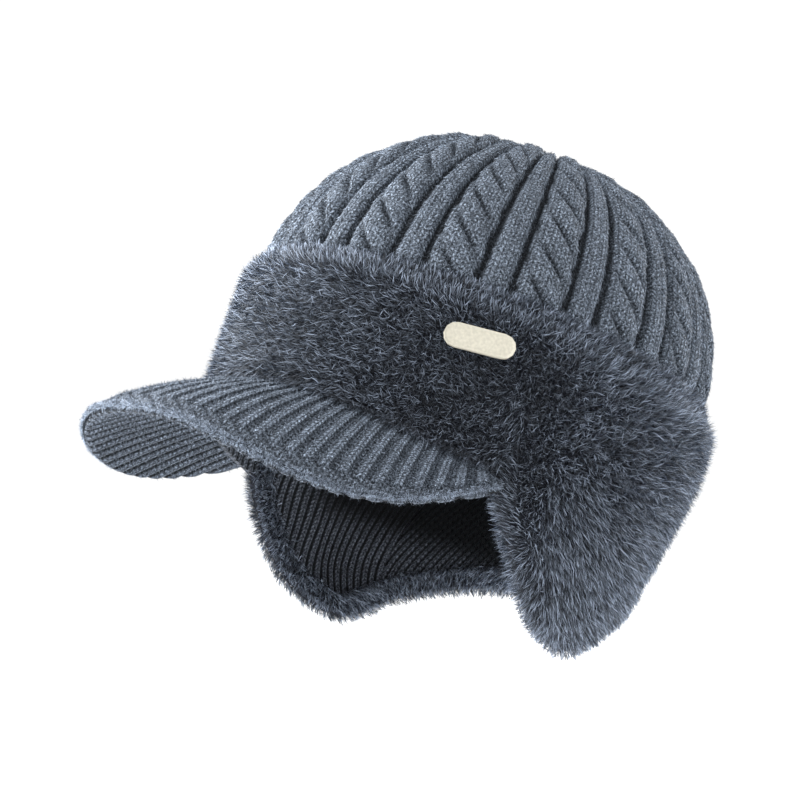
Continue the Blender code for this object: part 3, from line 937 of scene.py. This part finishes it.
class BEANIE_OT_plush(bpy.types.Operator):
    """Lays the plush's wool backing and sets its hairs"""

    bl_idname = "beanie.plush"
    bl_label = "Grow the plush"

    def execute(self, context):
        chosen = context.scene.beanie_plush
        self.backing(felted_finish("plush_backing", chosen.backing))
        finish = pile_finish("plush_hair", chosen.root_colour, chosen.tip_colour)
        field, ledge = self.skins()
        rng = np.random.default_rng(7)
        counts = {"guard": chosen.hair_count, "down": chosen.down_count}
        for kind, count in counts.items():
            inner_count, top_count = count // 6, count // 12
            spots = scatter(field, count - inner_count - top_count, rng, True)
            turned = scatter(ledge, inner_count, rng, True)
            rolled = scatter(self.collar(), top_count, rng, True)
            self.hairs(kind, spots, turned, rolled, chosen.hair_width, finish, rng)
        return {"FINISHED"}

    def skins(self):
        """Grids of hair roots: the plush's outside down to its edge, and the ledge that faces inwards."""
        inner = OUTSIDE_LINING
        way = np.linspace(0, 1, PLUSH_ROWS + 1)[:, None]
        pile = FUR_PILE * np.interp(way, PILE_DOWN[:, 0], PILE_DOWN[:, 1])
        field = [off_head(*field_places(way), inner + pile * HAIR_ROOT)]
        for share in np.linspace(0, 1, MARGIN_ROWS + 1)[1:]:
            front = HAIR_ROOT * FUR_PILE
            flap = FUR_PILE * (HAIR_ROOT - (HAIR_ROOT - HAIR_ROOT_AT_EDGE) * share**2)
            depth = np.where(COLUMNS["front"], front, flap)
            field.append(on_brim(off_head(*margin_places(share), inner + depth), share)[None])
        ledge = []
        for share in (-0.4, 0.1, 0.6, 1.0):
            ledge.append(off_head(*margin_places(share), 0.0020 * max(share, 0) - 0.0002))
        return np.concatenate(field), np.stack(ledge)

    def collar(self):
        """The plush's rolled top edge, from the crown's wall out to the field's first row."""
        pile = FUR_PILE * PILE_DOWN[0, 1] * HAIR_ROOT
        return off_head(*field_places(0.0), OUTSIDE_LINING + pile * np.linspace(0, 1, 3)[:, None])

    def backing(self, finish):
        field, _ = self.skins()
        rough = soft_noise(field, WOOL_GRAIN, 3)[..., None]
        rows = field[::3]
        push = unit(np.cross(np.gradient(rows, axis=0), np.gradient(rows, axis=1)))
        outside = rows + push * WOOL_ROUGHNESS * rough[::3]
        inner = OUTSIDE_LINING
        hem = hem_level(COLUMNS["top"], CROWN_HEM_DEPTH)
        levels = [FUR_TOP_LEVEL + 0 * hem, 0 * hem, hem]
        way = (np.stack(levels) - FUR_TOP_LEVEL) / (COLUMNS["margin"] - FUR_TOP_LEVEL)
        low = way[-1] + (1 - way[-1]) * np.linspace(0, 1, 6)[1:, None]
        inside = [off_head(*field_places(np.vstack([way, low])), inner)]
        depth = np.where(COLUMNS["front"], inner, LAYER_GAP)
        for share in (0.1, 1.0):
            rim = on_brim(off_head(*margin_places(share), depth), share)
            inside.append(rim[None])
        inside = np.concatenate(inside)
        uv_out, uv_in = outside[..., :2] * 0, inside[..., :2] * 0
        piece = shell("plush_wool_backing", outside, inside, True, finish, uv_out, uv_in)
        dress(piece, "fur", "fur_band_and_flaps")

    def combing(self, spots):
        """Which way the pile lies: up over the crown's hem, down the band, parted on the ear flaps.

        With it come the share of the way down the plush, the hairs' painted light (lighter at the top edge and
        on the flaps, painted shade over the band in front of the flaps) and the pile's fullness.
        """
        ends = np.append(COLUMNS["top"], 2 * np.pi + COLUMNS["top"][0])
        angle = np.interp(spots["column"], np.arange(len(ends)), ends)
        angle = (angle + np.pi) % (2 * np.pi) - np.pi
        turn = np.degrees(np.abs(angle))
        way = np.clip(spots["row"] / PLUSH_ROWS, 0, 1.2)
        flap = ease(way, 0.30, 0.75) * ease(turn, 55, 75)
        top = 1 - ease(way, 0.0, 0.32)
        down = 0.30 + 0.65 * flap - 0.85 * top
        parting = ease(turn, 86, 102) * 2 - 1
        aside = np.sign(angle) * flap * parting * (0.75 - 0.5 * ease(turn, 125, 160))
        forward = -np.sign(angle) * 0.55 * (1 - flap) * ease(turn, 4, 25)
        aside = aside + forward * (1 - ease(turn, 95, 130)) * (1 - top)
        lean = 0.75 + 0.35 * flap + 0.35 * top
        comb = spots["down"] * (down * lean)[:, None] + spots["across"] * (aside * lean)[:, None]
        # Painted shade over the band below its top edge, in front of the ear flaps; painted light at the top
        # edge and on the flaps
        shaded = ease(way, 0.12, 0.35) * (1 - ease(turn, 78, 96)) * (1 - 0.5 * ease(75 - turn, 0, 50))
        painted_light = 1.04 + 0.30 * top - 0.52 * shaded + 0.08 * flap
        return comb, way, painted_light, 1 + 0.18 * ease(turn, 70, 110)

    def hairs(self, kind, spots, turned, rolled, width, finish, rng):
        """Long or short hairs over the field, the ledge that is turned in and the rolled top edge."""
        comb, way, painted_light, fullness = self.combing(spots)
        root, out = spots["root"], spots["out"]
        tuft = np.stack([soft_noise(root, TUFT_SIZE, 21 + k) for k in range(3)], axis=-1)
        swirl = np.stack([soft_noise(root, SWIRL_SIZE, 31 + k) for k in range(3)], axis=-1)
        stray = rng.normal(size=root.shape)
        heading = unit(out * 1.1 + comb * 0.68 + tuft * 0.32 + swirl * 0.26 + stray * 0.42)
        pile = np.interp(way, PILE_DOWN[:, 0], PILE_DOWN[:, 1])
        low, high = HAIR_REACH[kind]
        reach = rng.uniform(low, high, len(root))
        length = FUR_PILE * HAIR_LENGTH * np.maximum(pile, 0.85) * reach * fullness
        curl = comb * 0.45 + rng.normal(size=root.shape) * 0.25
        grown = [(root, heading, curl, length, reach, painted_light, out)]
        # The last number is painted light: the turned-in ledge and the rolled top edge are lighter
        for edge, face, lie, long, light in (
            (turned, -turned["out"], turned["down"] * 1.3, 0.66, 1.5),
            (rolled, rolled["out"], rolled["down"] * -0.5, 0.56, 1.2),
        ):
            root = edge["root"]
            heading = unit(face + lie + rng.normal(size=root.shape) * 0.45)
            reach = rng.uniform(low, high, len(root))
            shown = unit(face + edge["down"])
            grown.append((root, heading, 0 * root, FUR_PILE * long * reach, reach, light + 0 * reach, shown))
        root, heading, curl, length, reach, painted_light, outward = (np.concatenate(column) for column in zip(*grown))
        thick = width * rng.uniform(0.6, 1.1, len(root)) * (1.0 if kind == "guard" else 1.1)
        tint = rng.random(len(root)) ** 2.3 * painted_light * (0.35 + 0.9 * (reach / high) ** 2)
        tint *= 1.0 if kind == "guard" else 0.7
        for side, chosen in (("left", root[:, 0] >= 0), ("right", root[:, 0] < 0)):
            hairs = [values[chosen] for values in (root, heading, curl, length, thick)]
            name = f"plush_{kind}_hair_{side}"
            piece = blades(name, *hairs, finish, tint[chosen], rng, outward[chosen], bends=kind == "guard")
            dress(piece, "fur")


class BEANIE_OT_brim(bpy.types.Operator):
    """Knits the ribbed top and underside of the brim"""

    bl_idname = "beanie.brim"
    bl_label = "Knit the brim"

    def execute(self, context):
        chosen = context.scene.beanie_brim
        turn = np.linspace(-np.pi / 2, np.pi / 2, BRIM_RIBS * BRIM_RIB_COLUMNS + 1)
        way, cover = self.rim_rows(116, 110)
        band = 1 - BRIM_EDGE_BAND / BRIM_LENGTH
        rows = way * BRIM_LENGTH / RUNG_PITCH
        phase = turn / np.pi * BRIM_RIBS
        plain = ease(0.5 - 0.5 * np.cos(2 * np.pi * phase), 0.12, 0.62)
        rung = 0.5 - 0.5 * np.cos(2 * np.pi * rows)
        ladder = (1 - plain) * rung
        ribs = chosen.rib_height * (plain + 0.5 * ladder)
        moss = 0.5 + 0.5 * np.sin(2 * np.pi * phase) * np.sin(2 * np.pi * rows * 0.5)
        edge = ease(way, band - 0.01, band + 0.01)
        relief = ribs * (1 - edge) + MOSS_HEIGHT * moss * edge
        seam = LAYER_GAP / 2
        above = off_brim(turn, way, seam + (BRIM_COVER - BRIM_SINK) * cover + relief * np.maximum(cover, 0))
        half = np.array([0, 0.5, 0.96])[:, None]
        stitches = phase * 2 - 0.5
        uv = stitch_map(stitches, rows)
        uv_half = stitch_map(stitches, half * SEAM_STITCHES)
        top_finish = knit_finish("brim_yarn", chosen.yarn, gap=0.14)
        # Painted shade in the ladder's holes and the moss edge's dips, and a painted highlight along the rim
        light = (0.16 + 0.84 * np.maximum(plain, 0.72 * ladder)) * (1 - edge)
        light = light + (0.30 + 0.70 * moss) * edge
        light = np.maximum(light, 1.05 * ease(way, 0.970, 0.982))
        below = off_brim(turn, half, seam)
        piece = shell("brim_top_knit", above, below, False, top_finish, uv, uv_half, light_out=light)
        dress(piece, "yarn", "brim_top")
        way, cover = self.rim_rows(56, 60)
        middle = brim_middle(turn, way)
        place = 0.35 * middle[..., 0] / chosen.under_pitch + 0.65 * turn / np.pi * UNDERSIDE_RIBS
        swell = np.abs(np.cos(np.pi * place))
        ribs = swell**0.6 * UNDERSIDE_RIB_HEIGHT
        under = off_brim(turn, way, -seam - (BRIM_COVER + ribs - UNDERSIDE_SINK) * cover)
        uv = stitch_map(place, middle[..., 1] / UNDERSIDE_STITCH_HEIGHT)
        under_finish = knit_finish("brim_under_yarn", chosen.under_yarn, gap=0.14)
        # Painted shade in the grooves between the underside's ribs
        light = 0.05 + 0.95 * ease(swell, 0.35, 0.85)
        over = off_brim(turn, half, -seam)
        piece = shell("brim_underside_knit", over, under, False, under_finish, uv_half, uv, light_in=light)
        dress(piece, "brim_rib", "brim_underside")
        self.fuzz(chosen, above, under)
        return {"FINISHED"}

    @staticmethod
    def rim_rows(count, wrap):
        """Rows from the root to the rim, then round the rim by an angle.

        The cover is the share of the wall's thickness at each row.
        """
        bend = np.radians(np.linspace(0, wrap, 10)[1:])
        round_rim = BRIM_COVER / BRIM_LENGTH
        flat = 1 - round_rim - RIM_TRIM / BRIM_LENGTH
        way = np.concatenate([np.linspace(0, flat, count), flat + round_rim * np.sin(bend)])
        cover = np.concatenate([np.ones(count), np.cos(bend)])
        return way[:, None], cover[:, None]

    def fuzz(self, chosen, above, under):
        rng = np.random.default_rng(19)
        finish = pile_finish("brim_fuzz", lighter(chosen.yarn, 0.9), lighter(chosen.yarn, 1.9))
        # The last number is painted light: darker fuzz under the brim, lighter along its rim
        skins = ((above, 0.45, 1, 0.4), (under, 0.2, -1, 0.3), (above[-9:], 0.35, 1, 0.65))
        parts = []
        for grid, share, sign, painted_light in skins:
            count = int(chosen.fuzz_count * share)
            spots = scatter(grid, count, rng, False)
            out = spots["out"] * sign
            heading = unit(out * 0.45 + rng.normal(size=out.shape) * 0.6)
            flip = (heading * out).sum(-1, keepdims=True) < 0
            heading = np.where(flip, -heading, heading)
            length, tint = rng.uniform(0.0008, 0.0019, count), painted_light * rng.random(count) ** 1.5
            parts.append((spots["root"], heading, length, tint, out))
        root, heading, length, tint, out = (np.concatenate(column) for column in zip(*parts))
        width = rng.uniform(0.00016, 0.00030, len(root))
        fuzz = blades("brim_fuzz", root, heading, 0, length, width, finish, tint, rng, out, bends=False)
        dress(fuzz, "yarn")


class BEANIE_OT_lining(bpy.types.Operator):
    """Knits the four ribbed panels of the lining"""

    bl_idname = "beanie.lining"
    bl_label = "Knit the lining"

    def execute(self, context):
        chosen = context.scene.beanie_lining
        finish = knit_finish("lining_yarn", chosen.yarn, gap=0.06, contrast=0.6)
        top = COLUMNS["top"], hem_level(COLUMNS["top"], CROWN_HEM_DEPTH + SEAT_GAP)
        low = COLUMNS["margin_angle"], COLUMNS["margin"]
        count, corner = len(top[0]), FRONT_COLUMNS
        edge = COLUMNS["edge_angle"]
        tail = level_at(edge, root_arch(edge) - BRIM_COVER - BRIM_RIB_HEIGHT - LINING_BELOW_BRIM)
        front = slice(0, corner + 1)
        angle, level = between(top, low, np.linspace(0, 1, 30)[:, None])
        more = np.linspace(0, 1, 8)[1:, None]
        tail_angle, tail_level = between((edge, COLUMNS["edge"]), (edge, tail), more)
        front_angle = np.vstack([angle, edge, tail_angle])[:, front]
        front_level = np.vstack([level, COLUMNS["edge"], tail_level])[:, front]
        self.panel("front_lining_knit", "lining_front", front_angle, front_level, 0.0, chosen, finish)
        coarse = FLAP_COLUMNS // FINER
        margin = COLUMNS["margin_angle"][corner : corner + FLAP_COLUMNS : FINER][:coarse]
        nearest = int(np.argmin(np.abs(margin - LINING_SEAM_ANGLE))) * FINER
        seams = corner, corner + nearest, count - nearest, count
        panels = (
            ("left_ear_lining_knit", "lining_ear_left", -0.42),
            ("neck_lining_knit", "lining_neck", 0.84),
            ("right_ear_lining_knit", "lining_ear_right", 0.42),
        )
        angle, level = between(top, low, np.linspace(0, 1, 56)[:, None])
        for (name, node, slope), start, stop in zip(panels, seams, seams[1:]):
            some = np.arange(start, stop + 1)
            turn = np.where(some >= count, 2 * np.pi, 0)
            some_angle, some_level = angle[:, some % count] + turn, level[:, some % count]
            self.panel(name, node, some_angle, some_level, slope, chosen, finish)
        return {"FINISHED"}

    def panel(self, name, node, angle, level, slope, chosen, finish):
        """One panel, with its ribs leaning by a slope.

        It has painted shade in the grooves between its ribs, and a painted shade that is darkest high up behind
        the brim, from a height that falls for each degree towards the nape.
        """
        angle = angle.copy()
        trim = LAYER_GAP / HEAD_HALF_WIDTH
        angle[:, 0] += trim
        angle[:, -1] -= trim
        old = np.arange(angle.shape[1])
        new = np.linspace(0, old[-1], old[-1] * LINING_FINER + 1)
        angle = np.array([np.interp(new, old, row) for row in angle])
        level = np.array([np.interp(new, old, row) for row in level])
        skin = head_surface(angle, level)
        place = (angle * HEAD_HALF_WIDTH + skin[..., 2] * slope) / chosen.rib_pitch
        swell = np.abs(np.cos(np.pi * place))
        relief = chosen.rib_height * swell**0.8
        turn = np.degrees(np.abs((angle + np.pi) % (2 * np.pi) - np.pi))
        bound = PAINTED_SHADE_HEIGHT - PAINTED_SHADE_FALL * (turn - PAINTED_SHADE_TURN)
        painted_deep_shade = ease(skin[..., 2] - bound, -0.011, 0.004) * ease(turn, 80, 98)
        # Painted shade between the ribs and painted deep shade high up behind the brim
        light = (0.02 + 0.98 * ease(swell, 0.40, 0.85)) * (1 - 0.96 * painted_deep_shade)
        inside = off_head(angle, level, chosen.rib_height - relief)
        some = np.linspace(0, len(level) - 1, 6).round().astype(int)
        outside = off_head(angle[some], level[some], LINING_WALL)
        uv = stitch_map(place, skin[..., 2] / LINING_STITCH_HEIGHT)
        piece = shell(name, outside, inside, False, finish, uv[some], uv, light_in=light)
        dress(piece, "lining", node)


class BEANIE_OT_badge(bpy.types.Operator):
    """Finishes the plain badge in satin cream"""

    bl_idname = "beanie.badge"
    bl_label = "Finish the badge"

    def execute(self, context):
        cream = context.scene.beanie_badge.cream
        made = Recipe("badge_satin_cream", roughness=0.42, specular=0.5)
        grain = made.noise(900.0, 3.0)
        tone = made.ramp(grain, (0.3, lighter(cream, 0.86)), (0.7, lighter(cream, 1.08)))
        finish = made.done(tone, made.bump(grain, 0.0001))
        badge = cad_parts["badge"]
        badge.data.materials.clear()
        badge.data.materials.append(finish)
        return {"FINISHED"}


class BEANIE_OT_stage(bpy.types.Operator):
    """Sets the pale floor, the soft studio light and the camera"""

    bl_idname = "beanie.stage"
    bl_label = "Set the stage"

    def execute(self, context):
        scene, chosen = context.scene, context.scene.beanie_stage
        made = Recipe("pale_floor", roughness=0.9, specular=0.1)
        grain = made.noise(8.0, 2.0)
        tone = made.ramp(grain, (0.3, lighter(chosen.floor, 0.985)), (0.7, chosen.floor))
        corners = np.array([(-1, -1, 0), (1, -1, 0), (1, 1, 0), (-1, 1, 0)]) * FLOOR_HALF
        corners = corners - (0, 0, chosen.floor_drop)
        floor = new_piece("floor", corners, np.array([[0, 1, 2, 3]]), made.done(tone))
        world = bpy.data.worlds.new("soft_white_room")
        world.use_nodes = True
        background = world.node_tree.nodes["Background"]
        background.inputs["Color"].default_value = (1, 1, 1, 1)
        background.inputs["Strength"].default_value = 1.1
        scene.world = world
        scene.view_settings.view_transform = "Standard"
        azimuth, elevation = chosen.azimuth, chosen.elevation
        flat = math.cos(elevation)
        back = Vector((math.sin(azimuth) * flat, -math.cos(azimuth) * flat, math.sin(elevation)))
        right = Vector((math.cos(azimuth), math.sin(azimuth), 0))
        up = back.cross(right)
        for name, near, aside, above, size, power in LAMPS:
            self.lamp(name, back * near + right * aside + up * above, size, power)
        camera = bpy.data.objects.new("camera", bpy.data.cameras.new("camera"))
        scene.collection.objects.link(camera)
        camera.data.lens = chosen.lens
        camera.data.sensor_width = 36
        camera.location = back * chosen.distance
        aim = -back - right * AIM_LEFT + up * AIM_UP
        camera.rotation_mode = "QUATERNION"
        camera.rotation_quaternion = aim.to_track_quat("-Z", "Y")
        camera.data.clip_end = 100
        scene.camera = camera
        return {"FINISHED"}

    @staticmethod
    def lamp(name, place, size, power):
        light = bpy.data.lights.new(name, "AREA")
        light.energy = power
        light.size = size
        lamp = bpy.data.objects.new(name, light)
        lamp.location = place
        lamp.rotation_mode = "QUATERNION"
        lamp.rotation_quaternion = (-place).to_track_quat("-Z", "Y")
        bpy.context.scene.collection.objects.link(lamp)


class BEANIE_PT_pieces(bpy.types.Panel):
    """Lists the pieces of the beanie and their settings"""

    bl_label = "Winter beanie"
    bl_idname = "BEANIE_PT_pieces"
    bl_space_type = "VIEW_3D"
    bl_region_type = "UI"
    bl_category = "Beanie"

    def draw(self, context):
        for operator, settings in STEPS:
            box = self.layout.box()
            box.operator(operator.bl_idname)
            group = getattr(context.scene, settings)
            for name in group.__class__.__annotations__:
                box.prop(group, name)


SETTINGS = {
    "beanie_crown": CrownSettings,
    "beanie_plush": PlushSettings,
    "beanie_brim": BrimSettings,
    "beanie_lining": LiningSettings,
    "beanie_badge": BadgeSettings,
    "beanie_stage": StageSettings,
}
STEPS = (
    (BEANIE_OT_crown, "beanie_crown"),
    (BEANIE_OT_plush, "beanie_plush"),
    (BEANIE_OT_brim, "beanie_brim"),
    (BEANIE_OT_lining, "beanie_lining"),
    (BEANIE_OT_badge, "beanie_badge"),
    (BEANIE_OT_stage, "beanie_stage"),
)


def register():
    for name, group in SETTINGS.items():
        bpy.utils.register_class(group)
        setattr(bpy.types.Scene, name, bpy.props.PointerProperty(type=group))
    for operator, _ in STEPS:
        bpy.utils.register_class(operator)
    bpy.utils.register_class(BEANIE_PT_pieces)


def unregister():
    bpy.utils.unregister_class(BEANIE_PT_pieces)
    for operator, _ in reversed(STEPS):
        bpy.utils.unregister_class(operator)
    for name, group in reversed(list(SETTINGS.items())):
        delattr(bpy.types.Scene, name)
        bpy.utils.unregister_class(group)


def main():
    register()
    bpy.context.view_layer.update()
    bpy.ops.beanie.crown()
    bpy.ops.beanie.plush()
    bpy.ops.beanie.brim()
    bpy.ops.beanie.lining()
    bpy.ops.beanie.badge()
    bpy.ops.beanie.stage()


if __name__ == "__main__":
    main()
